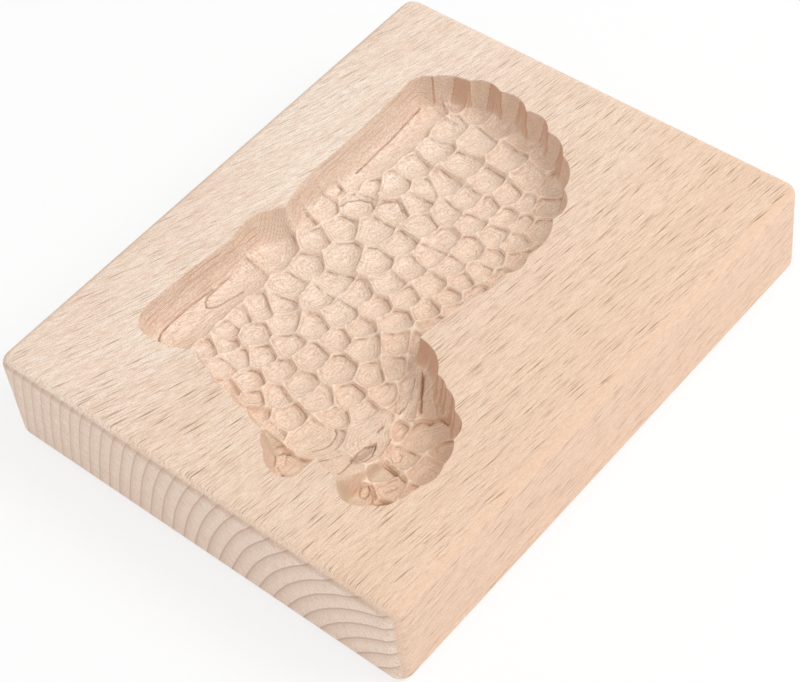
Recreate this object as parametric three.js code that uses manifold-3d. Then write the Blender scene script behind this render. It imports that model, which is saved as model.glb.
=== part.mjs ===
// A one-piece wooden cookie mould: a beech board with a lying lamb carved into its face.
// Millimetres, +Z up. The origin is the middle of the underside, +X points to the lamb's
// head and +Y to its back.
import * as THREE from 'three';
import { mergeVertices } from 'three/addons/utils/BufferGeometryUtils.js';
import Module from 'manifold-3d';

const wasm = await Module();
wasm.setup();

// Size of the carved lamb, and the plain wood left round it
const LAMB_LENGTH = 81.2;
const LAMB_HEIGHT = 57.6;
const RUMP_MARGIN = 9.55;
const HEAD_MARGIN = 9.25;
const BACK_MARGIN = 10.4;
const FEET_MARGIN = 12;

// Depth of the carving, and the solid wood under its deepest place
const WALL_DEPTH = 5.4;
const CROWN_DEPTH = 1.7;
const BACK_THICKNESS = 10.9;

// Edges of the board: a small fillet all round, and upright corners a little rounder
const EDGE_RADIUS = 1.6;
const CORNER_EXTRA_RADIUS = 0.8;
const FILLET_STEPS = 3;
const CORNER_STEPS = 4;

// Shape of the carving
const WALL_RUN = 0.9; // how far a wall leans in between the face and its foot
const CROWN_REACH = 8; // distance from the wall over which the floor sinks to its crown
const CURL_RADIUS = 3.2; // radius of the round gouge cut that makes one curl of wool
const BARE_RISE = 1.9; // floor that no gouge cut reaches lies this much above the crown
const STROKE_BOWL = 1.1; // how hollow a long smooth cut is, from its middle to its side
const BROW_EDGE_DEPTH = 0.7; // the forehead fades out into the face of the board
const BROW_SLOPE = 0.85;
const BROW_FADE = 4; // how fast the fade ends above the brow and below the nose

// Fineness of the carved surface
const FLOOR_STEP = 1.15;
const RIM_STEP = 0.95;
const CUTTER_CLEARANCE = 1.5;

// Size of the board
const boardLength = RUMP_MARGIN + LAMB_LENGTH + HEAD_MARGIN;
const boardWidth = FEET_MARGIN + LAMB_HEIGHT + BACK_MARGIN;
const boardThickness = BACK_THICKNESS + CROWN_DEPTH + WALL_DEPTH;

// The lamb's drawing is in its own frame, x from rump to muzzle and y from feet to back.
// Its rim runs counter-clockwise from the notch behind the ear as a chain of bows. Each bow
// ends at its first two numbers and swells outward by its third.
const RIM_START = [8.8, 10.9];
const BACK_BOWS = [
  [-1.5, 12.2, -0.2], [-8.75, 13.3, 0.65], [-13.75, 13.9, 1.1], [-22, 12.5, 1.1],
];
const RUMP_BOWS = [
  [-28.1, 10, 1.3], [-34, 5.25, 1.05], [-36.8, 0.1, 0.85], [-38.6, -5.75, 1.25],
  [-39.8, -12, 1.1], [-38.9, -18, 1.1], [-36.25, -23.75, 0.6],
];
const HIND_LEG_BOWS = [[-31.5, -26, 1], [-10.2, -25.75, -0.25], [0.4, -24, 0.5]];
const FORELEG_BOWS = [
  [10.3, -26.6, 1.6], [28, -28, 0.15], [32.8, -23, 1.7], [30.5, -15.6, 0.5],
];
const CHEST_BOWS = [
  [32.1, -11.3, 0.4], [33.3, -5.7, 0.7], [34.3, -1.5, 0.6], [35.8, 3.2, 0.45],
];
const MUZZLE_BOWS = [
  [39.8, 6.9, -0.1], [40.4, 12, 0.6], [38.2, 13.3, 0.7], [36, 13, -0.15], [36.2, 18, -0.1],
];
const CAP_BOWS = [
  [36.7, 25.3, 2.1], [34.3, 27.4, 0.45], [30, 28.6, 0.25], [25.3, 28.9, 0.75],
  [20.8, 27.2, 0.55], [16.7, 24, 1.15], [14, 20.2, 0.55], [12.8, 17.6, 0.3],
];
const EAR_BOWS = [[8.8, 10.9, 1.1]];
const RIM_BOWS = [
  ...BACK_BOWS, ...RUMP_BOWS, ...HIND_LEG_BOWS, ...FORELEG_BOWS, ...CHEST_BOWS,
  ...MUZZLE_BOWS, ...CAP_BOWS, ...EAR_BOWS,
];

// Middles of the wool curls, column by column from the rump to the chest, each from the
// back down to the belly
const RUMP_CURLS = [
  [-31, 4.7], [-36, 1.2], [-37.5, -5], [-38, -10.7], [-38.2, -15.6], [-37.4, -20.3],
  [-27, 6.5], [-30.8, 0.8], [-32.3, -5], [-32.3, -11.5], [-32.2, -17.8],
  [-22.7, 8.6], [-26.3, 3.2], [-26.4, -0.2], [-26.6, -5], [-27, -10.2], [-27.2, -16],
];
const FLANK_CURLS = [
  [-22.6, 5.6], [-22.4, 2.4], [-22.2, -1.7], [-22, -5.3], [-22.6, -10.4], [-22.3, -17],
  [-18.2, 7.2], [-17.9, 3.9], [-18.3, -1.4], [-17.5, -5.9], [-19.9, -12.1], [-17.2, -17],
  [-16, 9.6], [-14.3, 6.3], [-13.4, 2.2], [-12.8, -3], [-13.3, -7.6], [-13.1, -13.2],
  [-16.6, -11.4], [-15.2, -20.3], [-10.7, -19.2], [-11, -24],
];
const BELLY_CURLS = [
  [-10.8, 9.8], [-10.6, 6.9], [-8.9, 1.6], [-8.9, -2.1], [-8, -8], [-7.7, -12.7],
  [-7.4, 5.6], [-6.3, 9], [-4, 2], [-4.9, -3.2], [-3.7, 5.9], [-2.5, -8.2], [-4.7, -17.6],
  [-6.2, -23.5], [-1.8, -23.6], [-0.2, -19.6], [-1.9, 9], [0.6, 4.8], [0.4, 0.1],
  [-0.5, -3.9], [-0.2, -13.2], [2.5, 8.3], [5, 2], [4.4, -2.4], [4, -6.5], [4.4, -11.1],
  [4.4, -17], [8.5, 5.7], [6.8, 8.4], [9.3, -1.4], [8.6, -6.2], [8.2, -11.2], [9.1, -16.6],
];
const CHEST_CURLS = [
  [12.6, 8.6], [11.9, 1.7], [13, -3], [13.3, -7.9], [12.6, -15.3], [15.5, 6.4],
  [17.5, 1.2], [18.1, -3.9], [18.3, -8.6], [15.4, -12], [15.5, -17.1], [18.2, -18.5],
  [16.9, 10.4], [20.5, 6], [23.8, 2.8], [23.3, -1.8], [23, -6], [22.4, -10.4],
  [19.8, -14.2], [21.7, -18.3], [21.2, 9.7], [24.7, 6.7], [27.3, -3.2], [27.5, -8.6],
  [25, -12.8], [24.1, -16.6], [29.6, 1.3], [29.6, -5], [27.9, -13.2], [26.4, -18],
  [31, -9.7], [33, 1.2], [31.9, -2.6],
];
const CAP_CURLS = [
  [15, 18.3], [15.9, 22.2], [20.5, 19.4], [19.6, 24.6], [21.1, 16.6], [24.6, 19.8],
  [25.1, 24.9], [30.2, 22.4], [34, 19.6], [33.8, 23.8], [28.6, 18.6], [29.4, 26.2],
];
const CURLS = [
  ...RUMP_CURLS, ...FLANK_CURLS, ...BELLY_CURLS, ...CHEST_CURLS, ...CAP_CURLS,
];

// Long smooth cuts: from and to are the ends of the middle line, width is the half width
// at each end, and sink is how far the middle lies below the wall's foot
const STROKES = [
  { from: [-34.5, -22.6], to: [-20, -22.8], width: [1.8, 2.8], sink: 1.2 },
  { from: [-20, -22.8], to: [-12.5, -23.2], width: [2.8, 1.6], sink: 1.2 },
  { from: [4.8, -23.6], to: [9.5, -23.2], width: [2.6, 3.4], sink: 1.3 },
  { from: [9.5, -23.2], to: [28.8, -23.2], width: [3.4, 3.6], sink: 1 },
  { from: [10.2, 12.6], to: [19.4, 15.4], width: [0.9, 2.2], sink: 0.7 },
  { from: [22.5, 13.2], to: [30.5, 14.6], width: [2.6, 2.6], sink: 0.2 },
  { from: [25.6, 15.3], to: [30.2, 15.1], width: [0.8, 0.8], sink: 0.5 },
  { from: [29.4, 7.4], to: [30, 7], width: [3.2, 3.2], sink: 1.1 },
  { from: [31.5, 9.5], to: [37.6, 9.2], width: [3.2, 3.2], sink: 0.6 },
];
const BROW_TOP = [36.2, 18];
const NOSE_TOP = [36, 13.2];

// Points of one bow after its start: a chord that swells to its right in the middle
function bowPoints(start, [endX, endY, swell], step) {
  const [startX, startY] = start;
  const chord = Math.hypot(endX - startX, endY - startY);
  const count = Math.max(1, Math.round(chord / step));
  const right = [(endY - startY) / chord, (startX - endX) / chord];
  const points = [];
  for (let i = 1; i <= count; i += 1) {
    const t = i / count;
    const rise = 4 * swell * t * (1 - t);
    const x = startX + (endX - startX) * t + right[0] * rise;
    const y = startY + (endY - startY) * t + right[1] * rise;
    points.push([x, y]);
  }
  return points;
}

// The whole rim in the drawing's frame, as a closed loop of points
function drawRim() {
  const rim = [];
  let start = RIM_START;
  for (const bow of RIM_BOWS) {
    rim.push(...bowPoints(start, bow, RIM_STEP));
    start = bow;
  }
  return rim;
}

const drawnRim = drawRim();
const drawnX = drawnRim.map((point) => point[0]);
const drawnY = drawnRim.map((point) => point[1]);
const drawnMin = [Math.min(...drawnX), Math.min(...drawnY)];
const drawnMax = [Math.max(...drawnX), Math.max(...drawnY)];
const stretchX = LAMB_LENGTH / (drawnMax[0] - drawnMin[0]);
const stretchY = LAMB_HEIGHT / (drawnMax[1] - drawnMin[1]);

// From the drawing's frame to the board's
function onBoard([x, y]) {
  return [
    (x - drawnMin[0]) * stretchX + RUMP_MARGIN - boardLength / 2,
    (y - drawnMin[1]) * stretchY + FEET_MARGIN - boardWidth / 2,
  ];
}

const rim = drawnRim.map(onBoard);
const curls = CURLS.map(onBoard);
const strokes = STROKES.map((stroke) => ({
  ...stroke,
  from: onBoard(stroke.from),
  to: onBoard(stroke.to),
}));
const brow = { from: onBoard(BROW_TOP), to: onBoard(NOSE_TOP) };

// Share along a segment, and distance to it
function nearestOnSegment([x, y], from, to) {
  const dx = to[0] - from[0];
  const dy = to[1] - from[1];
  const along = ((x - from[0]) * dx + (y - from[1]) * dy) / (dx * dx + dy * dy);
  const t = Math.min(1, Math.max(0, along));
  return { t, distance: Math.hypot(x - from[0] - t * dx, y - from[1] - t * dy) };
}

function distanceToRim(point) {
  let nearest = Infinity;
  rim.forEach((from, i) => {
    const to = rim[(i + 1) % rim.length];
    nearest = Math.min(nearest, nearestOnSegment(point, from, to).distance);
  });
  return nearest;
}

// Height of the nearest curl's round cut against its own middle, never above the bare floor
function woolRelief([x, y]) {
  const spread = Math.min(...curls.map(([cx, cy]) => (x - cx) ** 2 + (y - cy) ** 2));
  return Math.max(-spread / (2 * CURL_RADIUS), -BARE_RISE);
}

// Depth that one long smooth cut reaches at a point
function strokeDepth(point, { from, to, width, sink }) {
  const { t, distance } = nearestOnSegment(point, from, to);
  const halfWidth = width[0] + (width[1] - width[0]) * t;
  return WALL_DEPTH + sink - STROKE_BOWL * (distance / halfWidth) ** 2;
}

// The forehead slopes up to the rim between the brow and the nose
function browLimit(point) {
  const above = Math.max(0, point[1] - brow.from[1], brow.to[1] - point[1]);
  const { distance } = nearestOnSegment(point, brow.from, brow.to);
  return BROW_EDGE_DEPTH + BROW_SLOPE * distance + BROW_FADE * above;
}

// Depth of the carved floor below the board's face
function floorDepth(point) {
  const crown = CROWN_DEPTH * (1 - Math.exp(-distanceToRim(point) / CROWN_REACH));
  const wool = WALL_DEPTH + crown + woolRelief(point);
  const cuts = strokes.map((stroke) => strokeDepth(point, stroke));
  return Math.min(Math.max(wool, ...cuts), browLimit(point));
}

// A closed surface of shared vertices becomes a solid
function toSolid(geometry) {
  geometry.deleteAttribute('normal');
  geometry.deleteAttribute('uv');
  const merged = mergeVertices(geometry);
  return new wasm.Manifold(new wasm.Mesh({
    numProp: 3,
    vertProperties: new Float32Array(merged.attributes.position.array),
    triVerts: new Uint32Array(merged.index.array),
  }));
}

function toGeometry(solid) {
  const { vertProperties, triVerts } = solid.getMesh();
  const geometry = new THREE.BufferGeometry();
  geometry.setAttribute('position', new THREE.BufferAttribute(vertProperties, 3));
  geometry.setIndex(new THREE.BufferAttribute(triVerts, 1));
  geometry.computeVertexNormals();
  return geometry;
}

function indexedGeometry(vertices, triangles) {
  const geometry = new THREE.BufferGeometry();
  geometry.setAttribute('position', new THREE.Float32BufferAttribute(vertices.flat(), 3));
  geometry.setIndex(triangles.flat());
  return geometry;
}

// The plain board, with its underside on z = 0
function boardSolid() {
  const x = boardLength / 2;
  const y = boardWidth / 2;
  const r = EDGE_RADIUS + CORNER_EXTRA_RADIUS;
  const outline = new THREE.Shape();
  outline.absarc(x - r, y - r, r, 0, Math.PI / 2);
  outline.absarc(r - x, y - r, r, Math.PI / 2, Math.PI);
  outline.absarc(r - x, r - y, r, Math.PI, 1.5 * Math.PI);
  outline.absarc(x - r, r - y, r, 1.5 * Math.PI, 2 * Math.PI);
  const board = new THREE.ExtrudeGeometry(outline, {
    depth: boardThickness - 2 * EDGE_RADIUS,
    curveSegments: CORNER_STEPS,
    bevelThickness: EDGE_RADIUS,
    bevelSize: EDGE_RADIUS,
    bevelOffset: -EDGE_RADIUS,
    bevelSegments: FILLET_STEPS,
  });
  board.translate(0, 0, EDGE_RADIUS);
  return toSolid(board);
}

// The rim moved towards the inside of the hollow by one distance
function insetRim(distance) {
  return rim.map(([x, y], i) => {
    const before = rim[(i + rim.length - 1) % rim.length];
    const after = rim[(i + 1) % rim.length];
    const chord = Math.hypot(after[0] - before[0], after[1] - before[1]);
    const inward = [(before[1] - after[1]) / chord, (after[0] - before[0]) / chord];
    return [x + inward[0] * distance, y + inward[1] * distance];
  });
}

// Everything within the leaning walls, from above the face down past the floor
function wallSolid() {
  const foot = insetRim(WALL_RUN);
  const deepest = WALL_DEPTH + CROWN_DEPTH + CUTTER_CLEARANCE;
  const levels = [
    { loop: foot, z: boardThickness - deepest },
    { loop: foot, z: boardThickness - WALL_DEPTH },
    { loop: rim, z: boardThickness },
    { loop: rim, z: boardThickness + CUTTER_CLEARANCE },
  ];
  const count = rim.length;
  const vertices = levels.flatMap(({ loop, z }) => loop.map(([x, y]) => [x, y, z]));
  const triangles = [];
  for (let level = 0; level < levels.length - 1; level += 1) {
    for (let i = 0; i < count; i += 1) {
      const low = level * count + i;
      const lowNext = level * count + ((i + 1) % count);
      triangles.push([low, lowNext, lowNext + count], [low, lowNext + count, low + count]);
    }
  }
  const lidStart = (levels.length - 1) * count;
  for (const [a, b, c] of capTriangles(foot)) {
    triangles.push([a, c, b]);
  }
  for (const [a, b, c] of capTriangles(rim)) {
    triangles.push([lidStart + a, lidStart + b, lidStart + c]);
  }
  return toSolid(indexedGeometry(vertices, triangles));
}

function capTriangles(loop) {
  const contour = loop.map(([x, y]) => new THREE.Vector2(x, y));
  return THREE.ShapeUtils.triangulateShape(contour, []);
}

// A block whose underside is the carved floor
function floorSolid() {
  const low = onBoard(drawnMin).map((value) => value - CUTTER_CLEARANCE);
  const high = onBoard(drawnMax).map((value) => value + CUTTER_CLEARANCE);
  const columns = Math.ceil((high[0] - low[0]) / FLOOR_STEP);
  const rows = Math.ceil((high[1] - low[1]) / FLOOR_STEP);
  const block = new THREE.BoxGeometry(
    high[0] - low[0], high[1] - low[1], 1, columns, rows, 1,
  );
  block.translate((high[0] + low[0]) / 2, (high[1] + low[1]) / 2, 0);
  const position = block.attributes.position;
  for (let i = 0; i < position.count; i += 1) {
    const point = [position.getX(i), position.getY(i)];
    const isTop = position.getZ(i) > 0;
    const height = isTop ? 2 * CUTTER_CLEARANCE : -floorDepth(point);
    position.setZ(i, boardThickness + height);
  }
  return toSolid(block);
}

function mouldBoard() {
  const hollow = wallSolid().intersect(floorSolid());
  const beech = new THREE.MeshStandardMaterial({ color: 0xe8ccb0, roughness: 0.7 });
  const mesh = new THREE.Mesh(toGeometry(boardSolid().subtract(hollow)), beech);
  mesh.name = 'mould_board';
  return mesh;
}

const mould = new THREE.Group();
mould.add(mouldBoard());

export default mould;
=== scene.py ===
"""A beech cookie mould with a lying lamb carved into its face, on a white table.

The shapes are worked out in millimetres in the frame's own axes: +X points to the lamb's
head, +Y to its back and +Z out of the carved face.
"""

import math

import bpy
import numpy as np
from mathutils import Matrix, Vector
from mathutils.geometry import delaunay_2d_cdt
from mathutils.kdtree import KDTree


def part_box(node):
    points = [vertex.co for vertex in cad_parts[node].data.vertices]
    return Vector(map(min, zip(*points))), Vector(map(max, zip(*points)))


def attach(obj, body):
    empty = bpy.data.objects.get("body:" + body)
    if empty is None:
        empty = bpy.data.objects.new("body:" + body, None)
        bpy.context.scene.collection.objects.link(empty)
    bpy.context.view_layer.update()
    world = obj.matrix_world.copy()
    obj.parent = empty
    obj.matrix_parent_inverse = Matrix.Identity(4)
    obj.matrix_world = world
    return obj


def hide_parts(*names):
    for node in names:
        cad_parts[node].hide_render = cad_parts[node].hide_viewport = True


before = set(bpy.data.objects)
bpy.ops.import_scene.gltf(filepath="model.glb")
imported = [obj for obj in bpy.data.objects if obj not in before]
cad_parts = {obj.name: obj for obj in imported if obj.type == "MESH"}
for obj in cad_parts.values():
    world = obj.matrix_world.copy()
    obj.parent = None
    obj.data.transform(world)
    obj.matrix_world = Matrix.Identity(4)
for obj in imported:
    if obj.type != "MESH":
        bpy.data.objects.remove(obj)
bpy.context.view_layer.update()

MM = 0.001
BOARD_LOW, BOARD_HIGH = (corner / MM for corner in np.array(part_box("mould_board")))
FACE = BOARD_HIGH[2]

# Edges of the board, as in the frame
EDGE_RADIUS = 1.6
CORNER_RADIUS = 2.4
EDGE_STEPS = 7
CORNER_STEPS = 8

# The lamb's rim, counter-clockwise from the notch behind the ear, as a chain of bows. Each
# bow ends at its first two numbers and swells outward by its third.
RIM_START = (8.8, 10.9)
BACK_BOWS = ((-1.5, 12.2, -0.2), (-8.75, 13.3, 0.65), (-13.75, 13.9, 1.1), (-22, 12.5, 1.1))
RUMP_BOWS = (
    (-28.1, 10, 1.3), (-34, 5.25, 1.05), (-36.8, 0.1, 0.85), (-38.6, -5.75, 1.25),
    (-39.8, -12, 1.1), (-38.9, -18, 1.1), (-36.25, -23.75, 0.6),
)
HIND_LEG_BOWS = ((-31.5, -26, 1), (-10.2, -25.75, -0.25), (0.4, -24, 0.5))
FORELEG_BOWS = ((10.3, -26.6, 1.6), (28, -28, 0.15), (32.8, -23, 1.7), (30.5, -15.6, 0.5))
CHEST_BOWS = ((32.1, -11.3, 0.4), (33.3, -5.7, 0.7), (34.3, -1.5, 0.6), (35.8, 3.2, 0.45))
MUZZLE_BOWS = (
    (38.6, 5.9, 0.5), (40.5, 8.2, 0.3), (40.5, 11.5, 0.3), (38.6, 12.9, 0.35),
    (35.4, 13, -0.1), (36.2, 18, -0.1),
)
CAP_BOWS = (
    (36.7, 25.3, 2.1), (34.3, 27.4, 0.45), (30, 28.6, 0.25), (25.3, 28.9, 0.75),
    (20.8, 27.2, 0.55), (16.7, 24, 1.15), (14, 20.2, 0.55), (12.8, 17.6, 0.3),
)
EAR_BOWS = ((8.8, 10.9, 1.1),)
RIM_BOWS = (
    BACK_BOWS + RUMP_BOWS + HIND_LEG_BOWS + FORELEG_BOWS + CHEST_BOWS + MUZZLE_BOWS
    + CAP_BOWS + EAR_BOWS
)

# Depths of the carving below the face
WALL_DEPTH = 5.4
CROWN_DEPTH = 1.7
CROWN_REACH = 8  # distance from the wall over which the floor sinks to its crown
WALL_FOOT = 1.3  # distance from the rim at which the wall has run out into the floor
WALL_ROUND = 1.4  # exponent of the wall's rounded profile; 1 gives a straight slope

# Middles of the wool curls, column by column from the rump to the chest, each from the back
# down to the belly
RUMP_CURLS = (
    (-31, 4.7), (-36, 1.2), (-37.5, -5), (-38, -10.7), (-38.2, -15.6), (-37.4, -20.3),
    (-27, 6.5), (-30.8, 0.8), (-32.3, -5), (-32.3, -11.5), (-32.2, -17.8),
    (-22.7, 8.6), (-26.3, 3.2), (-26.4, -0.2), (-26.6, -5), (-27, -10.2), (-27.2, -16),
)
FLANK_CURLS = (
    (-22.6, 5.6), (-22.4, 2.4), (-22.2, -1.7), (-22, -5.3), (-22.6, -10.4), (-22.3, -17),
    (-18.2, 7.2), (-17.9, 3.9), (-18.3, -1.4), (-17.5, -5.9), (-19.9, -12.1), (-17.2, -17),
    (-16, 9.6), (-14.3, 6.3), (-13.4, 2.2), (-12.8, -3), (-13.3, -7.6), (-13.1, -13.2),
    (-16.6, -11.4), (-15.2, -20.3), (-10.7, -19.2), (-11, -24),
)
BELLY_CURLS = (
    (-10.8, 9.8), (-10.6, 6.9), (-8.9, 1.6), (-8.9, -2.1), (-8, -8), (-7.7, -12.7),
    (-7.4, 5.6), (-6.3, 9), (-4, 2), (-4.9, -3.2), (-3.7, 5.9), (-2.5, -8.2), (-4.7, -17.6),
    (-6.2, -23.5), (-1.8, -23.6), (-0.2, -19.6), (-1.9, 9), (0.6, 4.8), (0.4, 0.1),
    (-0.5, -3.9), (-0.2, -13.2), (2.5, 8.3), (5, 2), (4.4, -2.4), (4, -6.5), (4.4, -11.1),
    (4.4, -17), (8.5, 5.7), (6.8, 8.4), (9.3, -1.4), (8.6, -6.2), (8.2, -11.2), (9.1, -16.6),
)
CHEST_CURLS = (
    (12.6, 8.6), (11.9, 1.7), (13, -3), (13.3, -7.9), (12.6, -15.3), (15.5, 6.4),
    (17.5, 1.2), (18.1, -3.9), (18.3, -8.6), (15.4, -12), (15.5, -17.1), (18.2, -18.5),
    (16.9, 10.4), (20.5, 6), (23.8, 2.8), (23.3, -1.8), (23, -6), (22.4, -10.4),
    (19.8, -14.2), (21.7, -18.3), (21.2, 9.7), (24.7, 6.7), (27.3, -3.2), (27.5, -8.6),
    (25, -12.8), (24.1, -16.6), (29.6, 1.3), (29.6, -5), (27.9, -13.2), (26.4, -18),
    (31, -9.7), (33, 1.2), (31.9, -2.6),
)
CAP_CURLS = (
    (15, 18.3), (19.6, 24.6), (21.1, 16.2), (24.6, 20), (25.1, 24.9), (30.2, 22.6),
    (34, 20.2), (33.8, 24), (28.6, 19.5), (29.4, 26.2),
)
CURLS = np.array(RUMP_CURLS + FLANK_CURLS + BELLY_CURLS + CHEST_CURLS + CAP_CURLS)

# A curl is a shallow pit that leans down towards the lamb's back and rump, and neighbouring
# pits are parted by a narrow ridge that climbs where it meets the wall
CURL_HALF_WIDTH = 2.4
CURL_LENGTH = 0.01  # a curl's pit is a point, or as good as one
CURL_WIDTH_SPREAD = 0.22
CURL_SINK = 0.1
CURL_SINK_SPREAD = 0.22
CURL_BOWL_RADIUS = 6
CURL_LEAN = 0.14  # slope of the floor
CURL_LEAN_SPREAD = 0.5  # in radians, to either side of the azimuth
LEAN_AZIMUTH = math.radians(130)
CURL_RIDGE = 0.46
CURL_RIDGE_SPREAD = 0.2
CURL_SEED = 11
RIDGE_WIDTH = 0.2  # distance over which a ridge falls to about a third
STEP_WIDTH = 0.09  # distance over which one pit's floor gives way to the next one's
CORNER_ROUNDING = 6  # how sharply the ridges meet where three pits touch
RIDGE_CLIMB = 3  # how many heights of its own a ridge gains at the wall
CLIMB_REACH = 1.1
POINTS_AT_ONCE = 4096

# Smooth parts are longer pits: from, to, how much wider they are than a curl, how far the
# middle lies below the wool, how hollow they are, and the height of the ridge round them
SMOOTH_PARTS = (
    ((-34.3, -22.4), (-13.6, -23), 0.3, 0.35, 0.5, 0.75),  # hind leg
    ((4.6, -23.2), (6.8, -23), 0.9, 0.5, 0.5, 0.7),  # elbow
    ((11, -23.6), (29.2, -23.4), 0.8, 0.3, 0.6, 0.7),  # foreleg
    ((10.8, 10.8), (17.6, 13.4), -0.6, 0.1, 0.4, 0.5),  # inside of the ear
    ((11.8, 12.8), (18.3, 16.1), -1.1, -0.3, 0.2, 0.3),  # smooth band of the ear
    ((16.6, 22.6), (20.6, 19.6), 0.4, 0.5, 0.6, 0.8),  # large curl over the ear
    ((22.6, 13.4), (27.5, 14.4), 1, -0.9, 0.2, 0.2),  # temple and eye
    ((31.5, 14.2), (33.5, 15.6), 1.2, -0.6, 0.2, 0.2),  # bridge of the nose
    ((29.2, 8), (30.4, 6.8), 1.1, 0.2, 0.5, 0.4),  # cheek
    ((36.6, 9.8), (36.4, 6.4), 0.5, 0.3, 0.7, 0.7),  # muzzle
)

# The forehead slopes up to the rim on this line, ever more steeply beyond the line's ends
BROW = ((37, 18.3), (37, 12.7))
BROW_EDGE_DEPTH = 0.1
BROW_SLOPE = 0.6
BROW_FADE = 6
BROW_BLEND = 0.7

# Most curls have a round step in their floor, with a radius between these two and a middle up
# to this far from the curl's own. Smooth parts have three more: x, y and radius.
STEPPED_SHARE = 0.75
STEP_RADIUS = (1, 1.9)
STEP_OFFSET = 0.6
STEP_SEED = 5
STEP_HEIGHT = 0.15
STEP_SOFTNESS = 0.08
SMOOTH_STEPS = ((6, -23.4, 1.6), (25.5, -23.8, 0.9), (24.2, 18.9, 0.8))

# Fine cut lines: depth, half width and points. A negative depth leaves a raised line.
EYE_LINES = (
    (0.35, 0.14, (30.9, 15.5), (30.4, 15), (29.2, 14.7), (28, 14.3), (26.6, 14.3), (25.1, 15.2)),
    (0.35, 0.14, (30.9, 15.5), (30.5, 16.1), (28.9, 16.4), (27.4, 16.3), (25.9, 15.7), (25.1, 15.2)),
    (0.25, 0.14, (31.1, 15.7), (33.7, 16.6), (34.8, 16.8)),
    (0.14, 0.14, (26.1, 12.7), (27.2, 13.2), (28.6, 13.7)),
    (0.4, 0.16, (23.3, 13.9), (22, 14)),
    (-0.45, 0.22, (22.3, 16.7), (24.6, 17.5), (27.1, 17.9), (30.6, 18.5), (32.3, 18.8)),
)
MUZZLE_LINES = (
    (0.25, 0.16, (26.4, 8.1), (26.6, 8.6), (27.4, 9), (28.9, 9.3), (30.1, 8.9), (31.4, 8)),
    (-0.35, 0.18, (28, 4.3), (30.1, 4.1), (32.6, 4.3)),
    (0.3, 0.16, (35.3, 13), (34.4, 12.9), (33.4, 13.1)),
    (0.2, 0.14, (34.4, 12.9), (32.8, 13.3), (31.6, 13.4), (30.4, 13.3)),
    (0.12, 0.14, (34, 14.2), (32, 13.8), (30.6, 13.5)),
    (-0.45, 0.22, (33, 0.4), (33.1, 2.3), (33.8, 4.4), (33.9, 5.1), (33.9, 6.5)),
    (0.25, 0.14, (35.7, 4.5), (38.7, 6.6)),
    (0.25, 0.15, (35.3, 4.8), (34.6, 5.1), (34.1, 6.3)),
    (0.18, 0.13, (34.6, 5.7), (35.3, 6.1), (35.9, 6.5)),
    (0.3, 0.15, (39.2, 7.2), (38.4, 7.4), (37.6, 7.7)),
    (-0.25, 0.14, (36.9, 6.1), (37.5, 7.6)),
)
EAR_LINES = (
    (-0.6, 0.18, (11, 12.5), (12.3, 13.4), (13.7, 14.4), (15.3, 15.5), (17, 16.6), (18.6, 17.5)),
    (0.5, 0.18, (11.2, 12.9), (12.5, 13.9), (13.7, 14.8), (15.4, 16.1), (16.7, 17)),
    (0.22, 0.14, (12.1, 12), (13.6, 13), (15.4, 14), (16.7, 14.2), (17.8, 13.9), (19.1, 14.6)),
    (-0.3, 0.18, (19.4, 14.5), (17.2, 12.6), (16.1, 12), (14.7, 11.3), (13.2, 10.8)),
    (-0.3, 0.18, (13.8, 17.5), (14.3, 17.8), (15.3, 18.8)),
    (-0.25, 0.16, (13.3, 18.5), (13.7, 18.9), (14.5, 19.5)),
    (-0.4, 0.2, (17.7, 17.7), (17.1, 19.2), (16, 20.2), (15.2, 20.8), (15.2, 22.4)),
    (0.4, 0.2, (17.5, 19.2), (16.7, 19.8), (15.8, 20.5), (15.8, 22.2)),
)
CAP_LINES = (
    (0.22, 0.14, (32.6, 18.8), (33.1, 19), (33.7, 19.3), (33.8, 19.7), (33.5, 20.2)),
    (0.22, 0.14, (33.5, 20.2), (32.6, 20.2), (32.1, 19.9), (31.8, 19.5)),
    (-0.3, 0.16, (32, 18.9), (31.6, 19.3), (32, 20.3), (32.6, 21.2), (33.8, 22.2)),
    (0.25, 0.18, (27.3, 18.4), (27.1, 19.8), (27.7, 22.1), (27.8, 23.1)),
    (0.22, 0.14, (30.9, 21.8), (30.1, 22.2), (29.1, 22.6)),
    (0.25, 0.16, (33.9, 22.3), (32.6, 23.1), (31.8, 24.4)),
    (0.2, 0.14, (25.5, 18.3), (26.1, 19.4), (25.2, 19.9), (24.1, 19.4), (23.9, 18.6)),
)
LEG_LINES = (
    (0.25, 0.14, (20, -24.6), (19.4, -25.3), (18.4, -25.6), (15.4, -25.7), (13.2, -25.5)),
    (0.25, 0.14, (20, -24.6), (19.7, -24.1), (18.9, -23.5), (17.3, -23), (13.9, -22.1)),
    (0.16, 0.14, (23.7, -22), (21.2, -22.7), (18.6, -22.4)),
    (0.3, 0.14, (30, -25), (29.6, -25.8), (28.5, -26.3), (26.2, -26.5), (22.2, -26.4), (17, -26)),
    (0.2, 0.13, (17.6, -26.6), (15.5, -26.6), (13.2, -26.4), (10.9, -26.1), (9.7, -26.2)),
    (0.18, 0.13, (8.3, -26.2), (7, -26.5), (5.7, -26.4), (3.9, -26.1)),
    (0.16, 0.13, (8.2, -25.9), (6.7, -26.3), (4.9, -26)),
    (0.14, 0.16, (7.5, -24.7), (8.2, -22.7), (7.2, -21.4), (5.2, -21.3), (3.3, -22.5)),
    (0.3, 0.14, (-15.9, -24), (-20.5, -24.1), (-25.7, -24.2), (-29.4, -24.5), (-33.4, -24.7)),
    (0.2, 0.13, (-12.9, -25.4), (-14.5, -25.4)),
    (0.2, 0.13, (-15.5, -25.2), (-17.4, -25.2)),
    (0.2, 0.13, (-18.3, -24.8), (-21.2, -24.9)),
)
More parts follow.
